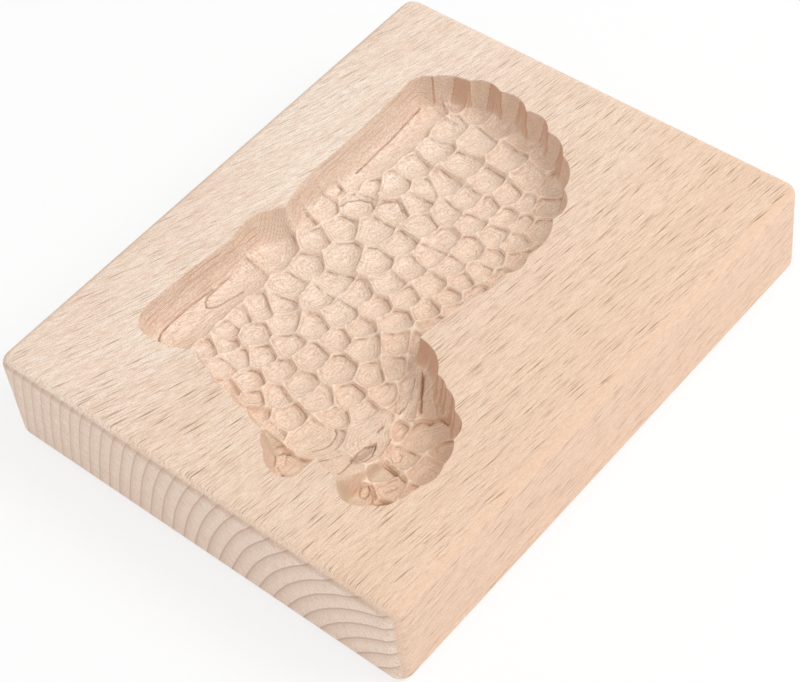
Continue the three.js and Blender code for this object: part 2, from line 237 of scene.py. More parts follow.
CURL_LINES = (
    (0.22, 0.14, (-8.6, -24.6), (-10, -25), (-11.9, -24.9), (-11.8, -23.7), (-10.2, -23.1)),
    (0.22, 0.14, (-4.8, -24.5), (-7.1, -24.7), (-8.4, -24.7)),
    (0.25, 0.15, (-8.2, -20.7), (-10.2, -20.9), (-12, -19.8), (-12.6, -17.9), (-11.7, -16.5)),
    (-0.3, 0.18, (-35.3, -22.7), (-34, -19.2), (-34.3, -16.8)),
    (-0.3, 0.18, (-16, -13.5), (-15.3, -10.6)),
    (0.22, 0.15, (-12.2, -16.1), (-13.6, -15.8), (-15.2, -14.5), (-14.4, -12.8)),
)
CUT_LINES = EYE_LINES + MUZZLE_LINES + EAR_LINES + CAP_LINES + LEG_LINES + CURL_LINES
# The cut lines get painted shade in and beside their grooves
CUT_REACH = 0.32  # how far the dark of a cut line reaches to either side
CUT_FULL_DEPTH = 0.28  # depth of a cut line from which it's fully dark

# Places with a rough, cross-hatched floor: from, to, half width and strength
EYE = ((26, 15.1), (30, 15.4), 0.95)
HATCHED_PLACES = (
    (*EYE, 1), ((10.6, 9.8), (12, 11.6), 1.2, 0.4), ((-36, -20), (-36.4, -18.4), 1.3, 0.4),
    ((0.8, -23.2), (4.2, -25.9), 1.6, 0.45), ((-36.2, -14.4), (-35.8, -11), 1.6, 0.4),
    ((-34.8, -6.6), (-34.4, -3.6), 1.6, 0.4), ((-31, 3.4), (-30, 5.2), 1.2, 0.3),
    ((34.4, 3.2), (35, 3.8), 0.7, 0.5),
)
EYE_DEPTH = 0.4
PLACE_EDGE = 1.5  # how steeply these places fade to their edge

# Walls in strips whose darker part is painted shade: the bows, strips in each bow, and share of
# a strip that is darker, which grows with the distance from the rim
SHADED_WALL_STRIPS = ((RUMP_BOWS, 1, 0.42), (CAP_BOWS[-3:], 2, 0.3), (EAR_BOWS, 1, 1.1))
STRIP_DRIFT = 0.12
STRIP_REACH = 2.2

# Smooth places with browner painted shade: from, to, half width and strength
SHADED_PLACES = (
    ((36, 18.9), (35, 20.4), 1.5, 0.8), ((31, 18.8), (27.9, 18.5), 0.7, 0.8),
    ((38, 9), (36.6, 11.2), 2, 0.8), ((33.9, 1.4), (35.6, 4), 1.1, 0.8),
    ((29.8, 19.9), (28.6, 19.4), 1.1, 0.8),
)

# Fineness of the carved surface
GRID_STEP = 0.2
RIM_STEP = 0.19
FINE_RIM_STEP = 0.05
RIM_BREAK = 0.08
WALL_INSETS = (0, 0.03, 0.08, 0.16, 0.26, 0.38, 0.5, 0.62)
GRID_CLEARANCE = 0.74  # distance from the rim at which the square grid starts
WALL_SMOOTHING = 3  # rim points to either side that smooth the wall's direction
MERGE_REACH = 1e-6
SHARP_ANGLE = math.radians(40)

# The camera looks at a point on the face, and is turned a little round its own line of sight
CAMERA_TARGET = (11.07, 8.89, 18)
CAMERA_DISTANCE = 344.04
CAMERA_AZIMUTH = 46.46
CAMERA_ELEVATION = 49.66
CAMERA_ROLL = -8.48
CAMERA_LENS = 102.65

# The tree: the pith's place as y and z at the end by the head, how fast it moves along the
# board, and how ring count grows with distance from the pith
PITH = (81, -45)
PITH_SLOPE = 0.1
RING_SQUARENESS = 3  # 2 gives round rings; more gives them straighter sides
RING_CROWDING = (0.00126, 0.236)

# How far the rings wander, coarse and fine: waves per millimetre and size
RING_WOBBLES = (((0.01, 0.08, 0.08), 0.4), ((0.02, 0.5, 0.5), 0.1))

# Slope of the grain across the board: from this y to that one, and the slopes there
GRAIN_SLOPE = (-40, 15, 0.36, 0.09)
GRAIN_WAVE = 1.5
RAY_TILT = math.sqrt(0.5)  # the rays stand at 45 degrees to the face and to the long sides

# Ray flecks, broad and fine: the cell that holds one, half its own size, and share of cells
DASHES = ((5.5, 7, 0.62), (3.8, 5.5, 0.11), 0.85)
HAIRS = ((5, 5, 0.3), (3.8, 5, 0.08), 0.95)
HAIR_STRENGTH = 0.6

# Waves per millimetre of each noise, along x, y and z, or along the grain and across it
GRAIN_WAVE_PITCH = (0.02, 0.05, 0.05)
CLOUD_PITCH = (0.02, 0.03, 0.05)
STREAK_PITCH = (0.02, 0.35, 0.35)
FIBRE_PITCH = (0.7, 4, 6)
RAY_PITCH = (1.5, 0.6, 4)
SPECK_PITCH = (5, 5, 5)
GRIT_PITCH = (3.5, 3.5, 3.5)
PORE_PITCH = (0.05, 2.5, 4)
LEVEL_PITCH = (0.06, 0.06, 0.4)
BROKEN_PITCH = (0.15, 0.3, 0.3)
DRIFT_PITCH = (0.6, 0.6, 0.6)
LINE_PATCH_PITCH = (0.35, 0.35, 0.35)
RIDGE_PATCH_PITCH = (0.5, 0.5, 0.5)
ROUGH_NOISE = 0.6  # how strong the finer waves of the ray ends and the grit are

# Fine relief of the surface: spacing and height of lines, and height of the wood's patterns
PATH_STEP = 0.38  # lines round the pits of the floor
TOOL_CLIMB = 0.6  # how much those lines drift with the floor's height
TOOL_STEP = 0.3  # level lines on the walls
HATCH_STEP = 0.62
WALL_LINE_STEP = 1.3  # dark level lines on the long walls
LEVEL_SWING = 2  # how far those dark lines wander up and down
TOOL_MARK = 0.026
HATCH_MARK = 2  # how many times higher the hatching is than the other lines
FIBRE_HEIGHT = 0.035
FLECK_DEPTH = 0.035
GRIT_DEPTH = 0.012

# Where the carving's surfaces start below the face, half the length and width of the area
# that they lie in, and the height that they stay above
CARVING_START = (0.02, 0.25)
CARVING_REACH = (45, 34)
CARVING_BOTTOM = 4

# Soft steps: the value at which a pattern starts and the one at which it's full, then its
# strength at both, which is 0 and 1 where it isn't given
STEEP = (0.62, 0.15)  # the carving's walls, by how far they face up
END_GRAIN = (0.62, 0.8)  # by how far a surface faces along the board
HEARTWOOD = (-40, 40)  # by y
CLOUDS = (0.3, 0.75, 0, 0.4)
STREAKS = (0.3, 0.7, 0, 0.2)
MOTTLING = (0.45, 0.57, 0, 0.65)
ROUGHNESS = (0.3, 0.7, 0.56, 0.72)  # by the mottling
RING_LATE = (0.3, 0.95, 0, 0.5)  # by the share of a ring that lies further in
RING_LINE = (0.8, 0.92, 0, 0.5)
RING_END = (0.94, 1, 1, 0)
RING_STRENGTH = (-40, 20, 0.36, 0.6)  # on end grain, by y
FLECK_POINT = (1, 0.35)
FLECK_FLATNESS = (0.85, 0.99)
SIDE_FLECKS = (-35, 0, 0.75, 1)  # by y
# Painted shade on the rounded edges along the long sides, against the lamp's highlight there
ROUNDED_EDGE_SHADE = (0.1, 0.5, 0, 0.5)
LONG_SIDES = (0.6, 0.9, 0, 0.35)
# The end grain's ring colour carried onto the rounded end edges, partly as painted shade against
# their highlight
END_EDGE_SHADE = (0.05, 0.6, 0, 0.35)
# Painted shade on every wall, more on end grain, which is also browner in its own colour
WALL_SHADE_BY_FACING = (0.1, 0.9, 0.04, 0.1)  # by how far a wall faces along the board, like LINED
LINED = (0.6, 0.2)
# Painted shade along the border of a darker wall strip
STRIP_EDGE = (0.5, 0.2, 0, 0.5)
PORES = (0.56, 0.68, 0, 0.5)
LEVEL_LINES = (0.9, 1, 0, 0.9)
BROKEN = (0.42, 0.55)
LINES = (0.1, 1, 0, 0.24)
LINE_PATCHES = (0.35, 0.6, 0.3, 1)
GRIT = (0.54, 0.7, 0, 0.22)
# The hatching's dark dots are painted shade
DOTS = (-0.1, 0.5, 0.2, 0.75)  # dark dots of the hatching
# The cut lines' dark is painted shade
CUTS = (0.3, 0.85, 0, 0.6)

# Single strengths
SPECK_SHARE = 0.55  # share of the mottling that has no direction
RING_ALONG = 0.1  # rings on the face and the long sides
CARVED_FLECKS = (0.75, 0.25)  # outside the carving and inside it
END_FLECKS = (1, 0.1)  # outside end grain and on it
# Painted shade on the darker wall strips
STRIP_SHADE = 0.5
# Painted light that makes hatched walls paler
PAINTED_HATCH_LIGHT = 0.9
DOT_POWER = 1.4  # how fast the dots fade with the hatching
GRIT_OFF_WALLS = 0.7  # share of the grit that the walls don't have
SHEEN = 0.3

# Beside a ridge, by distance from its crest: a painted highlight on the crest, then faint painted
# shade at its foot, and on sides that face +X, away from the key lamp, a darker edge of painted
# shade. Foot and edge come in patches.
CREST_WIDTH = 0.17
CREST_HIGHLIGHTS = (0.7 * CREST_WIDTH, 0.2 * CREST_WIDTH, 0, 0.7)
FOOT_BAND = (CREST_WIDTH, 2 * CREST_WIDTH, 2 * CREST_WIDTH, 4 * CREST_WIDTH)
FOOT_PATCHES = (0.4, 0.65, 0.05, 0.3)
EDGE_BAND = (CREST_WIDTH, 1.3 * CREST_WIDTH, 1.6 * CREST_WIDTH, 2.2 * CREST_WIDTH)
EDGE_PATCHES = (0.38, 0.6, 0, 0.5)
EDGE_FACING = (0.12, 0.35)

TABLE_REACH = 4000
TABLE_GLOW = 0.72
ROOM_LIGHT = 0.62

# Lamps: azimuth and elevation in degrees, distance and size in metres, and power in watts
KEY_LAMP = (128, 48, 0.9, 0.5, 3.6)
FILL_LAMP = (30, 60, 0.9, 0.7, 1)


def rim_loop(step):
    """Points along the rim, counter-clockwise, with each one's bow and share along it."""
    points, bows, shares = [], [], []
    start = np.array(RIM_START, float)
    for bow, (end_x, end_y, swell) in enumerate(RIM_BOWS):
        end = np.array((end_x, end_y), float)
        chord = end - start
        length = math.hypot(*chord)
        count = max(1, round(length / step))
        t = np.arange(1, count + 1)[:, None] / count
        right = np.array((chord[1], -chord[0])) / length
        points.append(start + chord * t + right * 4 * swell * t * (1 - t))
        bows.append(np.full(count, bow))
        shares.append(t[:, 0])
        start = end
    return np.concatenate(points), np.concatenate(bows), np.concatenate(shares)


def inward_normals(loop, reach):
    """Directions into the hollow, smoothed over this many points to each side."""
    tangent = np.roll(loop, -1, 0) - np.roll(loop, 1, 0)
    normal = np.stack((-tangent[:, 1], tangent[:, 0]), 1)
    smooth = sum(np.roll(normal, shift, 0) for shift in range(-reach, reach + 1))
    return smooth / np.linalg.norm(smooth, axis=1, keepdims=True)


FINE_RIM, RIM_BOW, RIM_SHARE = rim_loop(FINE_RIM_STEP)
FINE_NORMALS = inward_normals(FINE_RIM, 1)
RIM_TREE = KDTree(len(FINE_RIM))
for index, (x, y) in enumerate(FINE_RIM):
    RIM_TREE.insert((x, y, 0), index)
RIM_TREE.balance()


def nearest_rim(points):
    """Number of the nearest point of the fine rim, and distance to it."""
    found = np.array([RIM_TREE.find((x, y, 0))[1:] for x, y in points])
    return found[:, 0].astype(int), found[:, 1]


def rim_distance(points):
    """Distance to the rim, negative outside the hollow."""
    nearest, distance = nearest_rim(points)
    side = np.sum((points - FINE_RIM[nearest]) * FINE_NORMALS[nearest], axis=1)
    return np.where(side < 0, -distance, distance)


def segment_distance(points, start, end):
    """Distance to a segment."""
    start, end = np.array(start, float), np.array(end, float)
    chord = end - start
    t = np.clip((points - start) @ chord / (chord @ chord), 0, 1)
    return np.linalg.norm(points - start - t[:, None] * chord, axis=1)


def pit_generators():
    """Every pit as from, to, extra width, sink, bowl, ridge height, climb and lean."""
    rng = np.random.default_rng(CURL_SEED)
    count = len(CURLS)
    turn = LEAN_AZIMUTH + rng.uniform(-CURL_LEAN_SPREAD, CURL_LEAN_SPREAD, count)
    curls = {
        "start": CURLS, "end": CURLS + (CURL_LENGTH, 0),
        "extra": rng.uniform(-CURL_WIDTH_SPREAD, CURL_WIDTH_SPREAD, count),
        "sink": CURL_SINK + rng.uniform(-CURL_SINK_SPREAD, CURL_SINK_SPREAD, count),
        "bowl": np.full(count, 1 / (2 * CURL_BOWL_RADIUS)),
        "ridge": CURL_RIDGE + rng.uniform(-CURL_RIDGE_SPREAD, CURL_RIDGE_SPREAD, count),
        "climb": np.full(count, RIDGE_CLIMB),
        "lean": CURL_LEAN * np.stack((np.cos(turn), np.sin(turn)), 1),
    }
    start, end, extra, sink, bowl, ridge = (np.array(v, float) for v in zip(*SMOOTH_PARTS))
    smooth = {
        "start": start, "end": end, "extra": extra, "sink": sink,
        "bowl": bowl / (CURL_HALF_WIDTH + extra) ** 2, "ridge": ridge,
        "climb": np.zeros(len(start)),
        "lean": np.zeros((len(start), 2)),
    }
    return {name: np.concatenate((curls[name], smooth[name])) for name in curls}


PITS = pit_generators()


def pit_block(points):
    """Depth of the pits, height of the ridges, their climb, and distance to the nearest one."""
    chord = PITS["end"] - PITS["start"]
    offset = points[:, None, :] - PITS["start"]
    t = np.clip(np.sum(offset * chord, axis=2) / np.sum(chord ** 2, axis=1), 0, 1)
    offset -= t[:, :, None] * chord
    spread = np.sum(offset ** 2, axis=2)
    floor = PITS["sink"] - PITS["bowl"] * spread + np.sum(offset * PITS["lean"], axis=2)
    reach = np.sqrt(spread) - PITS["extra"]
    owner = reach.argmin(1)
    rows = np.arange(len(points))
    gap = (reach - reach[rows, owner][:, None]) / 2
    share = np.exp(-gap / STEP_WIDTH)
    depth = np.sum(share * floor, axis=1) / share.sum(1)
    gap[rows, owner] = np.inf
    weight = np.exp(-CORNER_ROUNDING * gap)
    to_ridge = np.maximum(-np.log(weight.sum(1)) / CORNER_ROUNDING, 0)
    ridge = (weight @ PITS["ridge"] / weight.sum(1) + PITS["ridge"][owner]) / 2
    climb = weight @ PITS["climb"] / weight.sum(1) * (PITS["climb"][owner] > 0)
    return depth, ridge * np.exp(-to_ridge / RIDGE_WIDTH), climb, to_ridge


def pit_relief(points):
    """The same four figures for any number of points."""
    starts = range(0, len(points), POINTS_AT_ONCE)
    blocks = [pit_block(points[start:start + POINTS_AT_ONCE]) for start in starts]
    return [np.concatenate(part) for part in zip(*blocks)]


def round_steps():
    """Middle and radius of every round step in the floor."""
    rng = np.random.default_rng(STEP_SEED)
    stepped = CURLS[rng.random(len(CURLS)) < STEPPED_SHARE]
    middle = stepped + rng.uniform(-STEP_OFFSET, STEP_OFFSET, stepped.shape)
    radius = rng.uniform(*STEP_RADIUS, len(stepped))
    return np.column_stack((middle, radius)).tolist() + list(SMOOTH_STEPS)


ROUND_STEPS = round_steps()


def step_depth(points):
    """Extra depth inside the round steps."""
    extra = np.zeros(len(points))
    for x, y, radius in ROUND_STEPS:
        beyond = np.hypot(points[:, 0] - x, points[:, 1] - y) - radius
        extra += STEP_HEIGHT * (1 - np.tanh(beyond / STEP_SOFTNESS)) / 2
    return extra


def nearness(points, start, end, half_width):
    """1 along a segment, falling to 0 at this half width."""
    distance = segment_distance(points, start, end)
    return np.clip(PLACE_EDGE * (1 - distance / half_width), 0, 1)


def strongest(points, places):
    """How strong the strongest of these places is at each point, 0 outside them."""
    return np.max([strength * nearness(points, *place) for *place, strength in places], axis=0)


def shaded_wall_strips(points):
    """1 on the wall strips that get painted shade, 0 elsewhere."""
    nearest, distance = nearest_rim(points)
    dark = np.zeros(len(points), bool)
    for bows, count, share in SHADED_WALL_STRIPS:
        numbers = [RIM_BOWS.index(bow) for bow in bows]
        along = RIM_SHARE[nearest] * count % 1
        dark |= np.isin(RIM_BOW[nearest], numbers) & (along < share + STRIP_DRIFT * distance)
    return (dark & (distance < STRIP_REACH)).astype(float)


def line_distance(points, line):
    """Distance to a chain of segments."""
    pieces = [segment_distance(points, start, end) for start, end in zip(line, line[1:])]
    return np.min(pieces, axis=0)


def cut_lines(points):
    """Extra depth along the fine cut lines."""
    extra = np.zeros(len(points))
    for depth, half_width, *line in CUT_LINES:
        extra += depth * np.exp(-(line_distance(points, line) / half_width) ** 2)
    return extra


def cut_shade(points):
    """How dark the painted shade of the cut lines is, 0 to 1, fading evenly to both sides."""
    shade = np.zeros(len(points))
    for depth, _, *line in CUT_LINES:
        strength = np.clip(depth / CUT_FULL_DEPTH, 0, 1)
        near = np.clip(1 - line_distance(points, line) / CUT_REACH, 0, 1)
        shade = np.maximum(shade, strength * near)
    return shade


def brow_limit(points):
    """Greatest depth that the sloping forehead leaves."""
    (_, top), (_, bottom) = BROW
    beyond = np.maximum(0, np.maximum(points[:, 1] - top, bottom - points[:, 1]))
    sloping = BROW_SLOPE * segment_distance(points, *BROW)
    return BROW_EDGE_DEPTH + sloping + BROW_FADE * beyond


def smooth_minimum(first, second, blend):
    """The smaller of two depths, with the change from one to the other rounded off."""
    share = np.clip(0.5 + (second - first) / (2 * blend), 0, 1)
    return second + (first - second) * share - blend * share * (1 - share)


def wall_profile(distance):
    """Share of the floor's depth that the wall has reached at this distance from the rim."""
    share = np.clip(distance / WALL_FOOT, 0, 1)
    return (1 - (1 - share) ** WALL_ROUND) ** (1 / WALL_ROUND)


def carved_depth(points, distance):
    """Depth below the board's face."""
    inside = np.maximum(distance, 0)
    pits, ridges, climb, _ = pit_relief(points)
    floor = WALL_DEPTH + CROWN_DEPTH * (1 - np.exp(-inside / CROWN_REACH)) + pits
    floor = floor + step_depth(points) - ridges * (1 + climb * np.exp(-inside / CLIMB_REACH))
    depth = floor * wall_profile(inside)
    depth = smooth_minimum(depth, brow_limit(points), BROW_BLEND)
    fine = cut_lines(points) + EYE_DEPTH * nearness(points, *EYE)
    return depth + fine * wall_profile(inside)


class MeshParts:
    """Vertices and faces that are gathered piece by piece."""

    def __init__(self):
        self.vertices = np.empty((0, 3))
        self.faces = []

    def add_points(self, points, height):
        """Adds points at these heights and returns their numbers."""
        first = len(self.vertices)
        block = np.column_stack((points, np.broadcast_to(height, len(points))))
        self.vertices = np.concatenate((self.vertices, block))
        return np.arange(first, len(self.vertices))

    def add_ring(self, upper, lower):
        """Quads between two loops, facing away from the upper one's middle."""
        nexts = np.roll(upper, -1), np.roll(lower, -1)
        self.faces += np.column_stack((upper, lower, nexts[1], nexts[0])).tolist()


def rounded_rectangle(inset):
    """The board's outline, drawn in by inset from its widest place."""
    radius = CORNER_RADIUS - inset
    middle = (BOARD_LOW + BOARD_HIGH)[:2] / 2
    half = (BOARD_HIGH - BOARD_LOW)[:2] / 2 - CORNER_RADIUS
    points = []
    for quarter, (sign_x, sign_y) in enumerate(((1, 1), (-1, 1), (-1, -1), (1, -1))):
        angle = (quarter + np.arange(CORNER_STEPS + 1) / CORNER_STEPS) * math.pi / 2
        corner = middle + half * (sign_x, sign_y)
        points.append(corner + radius * np.stack((np.cos(angle), np.sin(angle)), 1))
    return np.concatenate(points)


def add_outside(parts):
    """The board's rounded edges, its sides and its underside. Returns the upper loop."""
    loops = []
    for base, side in ((FACE - EDGE_RADIUS, 1), (BOARD_LOW[2] + EDGE_RADIUS, -1)):
        turns = np.arange(EDGE_STEPS + 1) / EDGE_STEPS * math.pi / 2
        for angle in turns[::-side]:
            inset = EDGE_RADIUS * (1 - math.cos(angle))
            height = base + side * EDGE_RADIUS * math.sin(angle)
            loops.append(parts.add_points(rounded_rectangle(inset), height))
    for upper, lower in zip(loops, loops[1:]):
        parts.add_ring(upper, lower)
    parts.faces.append(loops[-1][::-1].tolist())
    return loops[0]


def add_wall(parts, rim, normals):
    """The carving's wall in strips. Returns its outermost and innermost loops."""
    loops = [parts.add_points(rim - normals * RIM_BREAK, FACE)]
    for inset in WALL_INSETS:
        points = rim + normals * inset
        distance = np.maximum(rim_distance(points), 0)
        depth = np.maximum(carved_depth(points, distance), RIM_BREAK)
        loops.append(parts.add_points(points, FACE - depth))
    for upper, lower in zip(loops, loops[1:]):
        parts.add_ring(lower, upper)
    return loops[0], loops[-1]


def inside_loop(points, loop):
    """Which points lie within a closed loop."""
    inside = np.zeros(len(points), bool)
    x, y = points.T
    for (ax, ay), (bx, by) in zip(loop, np.roll(loop, -1, 0)):
        if ay == by:
            continue
        crosses = (ay > y) != (by > y)
        inside ^= crosses & (x < ax + (y - ay) * (bx - ax) / (by - ay))
    return inside


def loop_edges(numbers):
    """The edges of a closed loop of vertices."""
    return list(zip(numbers, np.roll(numbers, -1)))


def triangulate(parts, numbers, edges, keep):
    """Fills the area round these vertices with triangles whose middles pass keep."""
    flat = parts.vertices[numbers, :2]
    place = {number: index for index, number in enumerate(numbers.tolist())}
    local_edges = [(place[int(a)], place[int(b)]) for a, b in edges]
    _, _, faces, sources, _, _ = delaunay_2d_cdt(
        [Vector(point) for point in flat], local_edges, [], 0, MERGE_REACH, True)
    triangles = np.array([[sources[corner][0] for corner in face] for face in faces])
    middles = flat[triangles].mean(1)
    parts.faces += numbers[triangles[keep(middles)]].tolist()


def add_land(parts, outline, rim_outer):
    """The flat wood between the board's rounded edge and the rim."""
    hole = parts.vertices[rim_outer, :2]
    numbers = np.concatenate((outline, rim_outer))
    edges = loop_edges(outline) + loop_edges(rim_outer)
    triangulate(parts, numbers, edges, lambda middles: ~inside_loop(middles, hole))


def grid_nodes():
    """Nodes of a square grid over the hollow, with their distance to the rim."""
    low = np.floor(FINE_RIM.min(0) / GRID_STEP) * GRID_STEP
    shape = np.ceil((FINE_RIM.max(0) - low) / GRID_STEP).astype(int) + 1
    nodes = low + GRID_STEP * np.moveaxis(np.indices(shape), 0, -1)
    distance = rim_distance(nodes.reshape(-1, 2)).reshape(shape)
    return low, nodes, distance


def corner_views(table):
    """A table of node values seen from the four corners of its cells."""
    return table[:-1, :-1], table[1:, :-1], table[1:, 1:], table[:-1, 1:]


def cell_faces(numbers, heights, middle_heights, cells):
    """Two triangles for each cell, split along the diagonal that follows the surface."""
    corners = np.stack([corner[cells] for corner in corner_views(numbers)], 1)
    a, b, c, d = (corner[cells] for corner in corner_views(heights))
    first = np.abs((a + c) / 2 - middle_heights) <= np.abs((b + d) / 2 - middle_heights)
    order = np.where(first[:, None], (0, 1, 2, 0, 2, 3), (0, 1, 3, 1, 2, 3))
    return np.take_along_axis(corners, order, 1).reshape(-1, 3).tolist()


def cell_border(numbers, cells):
    """Edges between a kept cell and one that isn't kept."""
    padded = np.pad(cells, 1)
    a, b, c, d = corner_views(numbers)
    sides = (
        (padded[1:-1, :-2], a, b), (padded[2:, 1:-1], b, c),
        (padded[1:-1, 2:], c, d), (padded[:-2, 1:-1], d, a),
    )
    edges = []
    for beyond, start, end in sides:
        at_border = cells & ~beyond
        edges += list(zip(start[at_border], end[at_border]))
    return edges


def add_floor(parts, foot):
    """The carved floor on a square grid, joined to the wall's innermost loop."""
    low, nodes, distance = grid_nodes()
    clear = distance > GRID_CLEARANCE
    cells = np.logical_and.reduce(corner_views(clear))
    used = np.zeros(clear.shape, bool)
    for view in corner_views(used):
        view |= cells
    points = nodes[used]
    depth = carved_depth(points, distance[used])
    numbers = np.full(clear.shape, -1)
    numbers[used] = parts.add_points(points, FACE - depth)
    heights = np.zeros(clear.shape)
    heights[used] = -depth
    middles = (nodes[:-1, :-1] + GRID_STEP / 2)[cells]
    middle_distance = sum(corner[cells] for corner in corner_views(distance)) / 4
    middle_heights = -carved_depth(middles, middle_distance)
    parts.faces += cell_faces(numbers, heights, middle_heights, cells)
    add_floor_seam(parts, foot, cell_border(numbers, cells), low, cells)


def add_floor_seam(parts, foot, border, low, cells):
    """Triangles between the wall's innermost loop and the grid."""
    loop = parts.vertices[foot, :2]

    def is_open(middles):
        cell = ((middles - low) / GRID_STEP).astype(int)
        row, column = np.clip(cell, 0, np.array(cells.shape) - 1).T
        return inside_loop(middles, loop) & ~cells[row, column]

    numbers = np.concatenate((foot, np.unique(np.array(border))))
    triangulate(parts, numbers, loop_edges(foot) + border, is_open)


def add_object(name, data):
    """Puts a mesh, lamp or camera in the scene."""
    made = bpy.data.objects.new(name, data)
    bpy.context.scene.collection.objects.link(made)
    return made


def carved_board():
    """The whole mould as one closed mesh."""
    parts = MeshParts()
    outline = add_outside(parts)
    rim = rim_loop(RIM_STEP)[0]
    rim_outer, foot = add_wall(parts, rim, inward_normals(rim, WALL_SMOOTHING))
    add_land(parts, outline, rim_outer)
    add_floor(parts, foot)
    mesh = bpy.data.meshes.new("carved_board")
    mesh.from_pydata((parts.vertices * MM).tolist(), [], parts.faces)
    mesh.shade_smooth()
    mesh.set_sharp_from_angle(angle=SHARP_ANGLE)
    mesh.validate()
    flat = parts.vertices[:, :2]
    # Of these values, the brown places, the wall strips and the cut lines' dark are painted shade
    for name, values in (
        ("tool_path", pit_relief(flat)[3]), ("hatch", strongest(flat, HATCHED_PLACES)),
        ("shade_brown", strongest(flat, SHADED_PLACES)), ("shaded_strip", shaded_wall_strips(flat)),
        ("groove_shade", cut_shade(flat)),
    ):
        mesh.attributes.new(name, "FLOAT", "POINT").data.foreach_set("value", values)
    return add_object("carved_board", mesh)


class NodeTree:
    """Short ways to add nodes to one material or world."""

    def __init__(self, owner):
        owner.use_nodes = True
        self.tree = owner.node_tree
        self.tree.nodes.clear()

    def add(self, kind, inputs=(), **settings):
        """Adds a shader node of this kind. Its inputs go by name or number."""
        node = self.tree.nodes.new("ShaderNode" + kind)
        for name, value in settings.items():
            setattr(node, name, value)
        for name, value in dict(inputs).items():
            self.feed(value, node.inputs[name])
        return node

    def feed(self, value, socket):
        """Links a socket to another node's output, or sets it to a constant."""
        if isinstance(value, bpy.types.NodeSocket):
            self.tree.links.new(value, socket)
        else:
            socket.default_value = value

    def math(self, operation, *values):
        return self.add("Math", enumerate(values), operation=operation).outputs[0]

    def vector(self, operation, *values):
        node = self.add("VectorMath", enumerate(values), operation=operation)
        return node.outputs["Value" if operation == "DOT_PRODUCT" else "Vector"]

    def product(self, first, *others):
        """Multiplies any number of values."""
        for other in others:
            first = self.math("MULTIPLY", first, other)
        return first

    def ramp(self, value, low, high, start=0.0, end=1.0):
        """Smooth step of value from low to high, giving start to end."""
        inputs = {"Value": value, "From Min": low, "From Max": high, "To Min": start, "To Max": end}
        return self.add("MapRange", inputs, interpolation_type="SMOOTHSTEP").outputs[0]

    def band(self, value, low, rise, fall, high):
        """1 from rise to fall, and 0 below low and above high."""
        return self.product(self.ramp(value, low, rise), self.ramp(value, high, fall))

    def blend(self, factor, first, second):
        """Mixes two numbers by a factor."""
        inputs = {0: factor, 2: first, 3: second}
        return self.add("Mix", inputs, data_type="FLOAT").outputs[0]

    def tint(self, factor, first, second):
        """Mixes two colours by a factor."""
        inputs = {0: factor, 6: first, 7: second}
        return self.add("Mix", inputs, data_type="RGBA").outputs[2]

    def layers(self, colour, *tones):
        """Lays tones over a colour one after the other, each by its own strength."""
        for strength, tone in tones:
            colour = self.tint(strength, colour, tone)
        return colour

    def noise(self, place, pitch, detail=1, roughness=0.5):
        """Noise with so many waves per millimetre along each axis."""
        inputs = {
            "Vector": self.vector("MULTIPLY", place, pitch), "Scale": 1.0, "Detail": detail,
            "Roughness": roughness,
        }
        return self.add("TexNoise", inputs).outputs["Fac"]

    def seen(self):
        """1 for rays that show a surface, 0 for those that light others."""
        path = self.add("LightPath").outputs
        return self.math("MAXIMUM", path["Is Camera Ray"], path["Is Glossy Ray"])

    def surface(self, shader, output="OutputMaterial"):
        """Makes this shader the one that shows."""
        self.add(output, {"Surface": shader.outputs[0]})


class Wood(NodeTree):
    """The beech's nodes, with the places, directions and masks that its patterns share."""

    def __init__(self, material):
        super().__init__(material)
        place = self.add("TexCoord").outputs["Object"]
        self.place = self.vector("MULTIPLY", place, (1 / MM, 1 / MM, 1 / MM))
        self.x, self.y, self.z = self.split(self.place)
        self.grain = self.grain_place()
        normal = self.add("NewGeometry").outputs["Normal"]
        self.facing_x, facing_y, self.facing_z = self.split(normal)
        self.end_facing = self.math("ABSOLUTE", self.facing_x)
        self.side_facing = self.math("ABSOLUTE", facing_y)
        self.carved = self.carving_mask()
        self.outside = self.math("SUBTRACT", 1, self.carved)
        self.steep = self.product(self.carved, self.ramp(self.facing_z, *STEEP))
        self.floor = self.math("SUBTRACT", self.carved, self.steep)
        self.end_grain = self.product(self.ramp(self.end_facing, *END_GRAIN), self.outside)
        self.path = self.attribute("tool_path")
        self.hatch = self.attribute("hatch")

    def split(self, vector):
        """The three parts of a vector."""
        return self.add("SeparateXYZ", {"Vector": vector}).outputs

    def attribute(self, name):
        """A value that the mesh has at its vertices."""
        return self.add("Attribute", attribute_name=name).outputs["Fac"]

    def swing(self, pitch, size, detail=2):
        """A wandering offset of up to half this size either way."""
        wave = self.noise(self.place, pitch, detail)
        return self.product(self.math("SUBTRACT", wave, 0.5), size)

    def waves(self, value, step):
        """A sine wave of this wavelength."""
        return self.math("SINE", self.product(value, 2 * math.pi / step))

    def grain_place(self):
        """The place in the directions of the fibres and of the rays."""
        across = self.math("MULTIPLY_ADD", self.x, self.ramp(self.y, *GRAIN_SLOPE), self.y)
        across = self.math("ADD", across, self.swing(GRAIN_WAVE_PITCH, GRAIN_WAVE, detail=1))
        tall, thin = (
            self.product(self.math(operation, across, self.z), RAY_TILT)
            for operation in ("SUBTRACT", "ADD")
        )
        return self.add("CombineXYZ", enumerate((self.x, tall, thin))).outputs[0]

    def carving_mask(self):
        """1 on the surfaces of the carving, 0 on the board's outside."""
        below = self.ramp(self.z, *(FACE - depth for depth in CARVING_START))
        near = [
            self.math("LESS_THAN", self.math("ABSOLUTE", side), reach)
            for side, reach in zip((self.x, self.y), CARVING_REACH)
        ]
        return self.product(below, *near, self.math("GREATER_THAN", self.z, CARVING_BOTTOM))


def srgb(*levels):
    """A colour written as on a screen, 0 to 255 and not near black, as linear light."""
    linear = [((level / 255 + 0.055) / 1.055) ** 2.4 for level in levels]
    return (*linear, 1)


